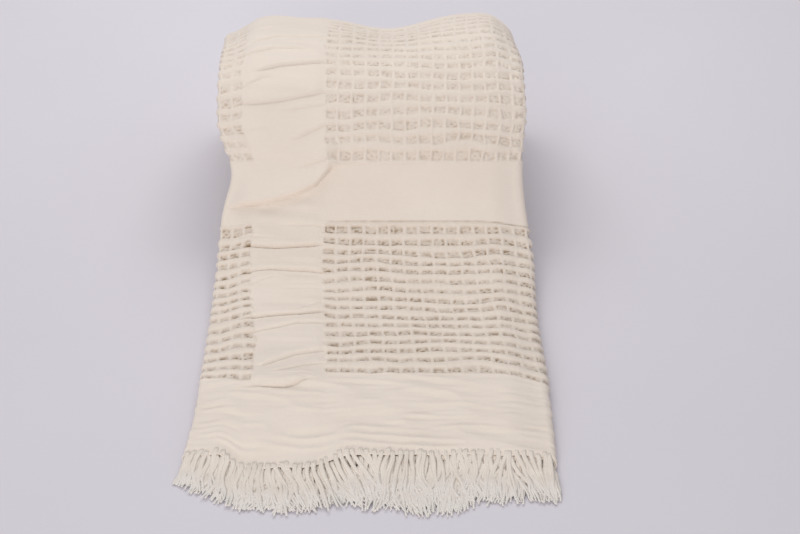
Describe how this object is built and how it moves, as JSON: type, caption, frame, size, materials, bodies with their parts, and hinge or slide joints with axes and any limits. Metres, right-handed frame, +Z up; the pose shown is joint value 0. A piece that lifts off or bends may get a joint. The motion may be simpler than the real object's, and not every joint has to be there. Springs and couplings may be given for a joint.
{
  "type": "folded throw blanket",
  "caption": "Long cream cotton throw with waffle blocks, smooth bands and fringed ends, folded into a thick strip that lies flat in front and drapes over a low hump.",
  "frame": {"origin": "on the table, under the middle of the whole length and width, fringe included", "axes": "+Z up; -Y towards the fringed end that lies in front of the hump; +X towards the folded spine, right when seen from the fringed end"},
  "size_m": [0.3666, 0.8116, 0.2102],
  "materials": {
    "waffle_cotton": "undyed woven cotton, matt, with soft waffle relief and crinkled smooth bands",
    "fringe_cotton": "loose bunches of undyed cotton yarn, matt"
  },
  "bodies": {
    "root": {"leaf_1_cover": "waffle_cotton", "leaf_2_cover_lining": "waffle_cotton", "leaf_3_upper_flap_lining": "waffle_cotton", "leaf_4_upper_flap": "waffle_cotton", "leaf_5_lower_flap": "waffle_cotton", "leaf_6_lower_flap_lining": "waffle_cotton", "leaf_7_base_lining": "waffle_cotton", "leaf_8_base": "waffle_cotton", "spine_fold_outer": "waffle_cotton", "spine_fold_inner": "waffle_cotton", "upper_edge_fold_outer": "waffle_cotton", "upper_edge_fold_inner": "waffle_cotton", "lower_edge_fold_outer": "waffle_cotton", "lower_edge_fold_inner": "waffle_cotton", "end_fold_1_2": "waffle_cotton", "end_fold_3_4": "waffle_cotton", "end_fold_5_6": "waffle_cotton", "end_fold_7_8": "waffle_cotton", "fringe_1": "fringe_cotton", "fringe_2": "fringe_cotton", "fringe_3": "fringe_cotton", "fringe_4": "fringe_cotton", "fringe_5": "fringe_cotton", "fringe_6": "fringe_cotton", "fringe_7": "fringe_cotton", "fringe_8": "fringe_cotton"}
  },
  "joints": []
}
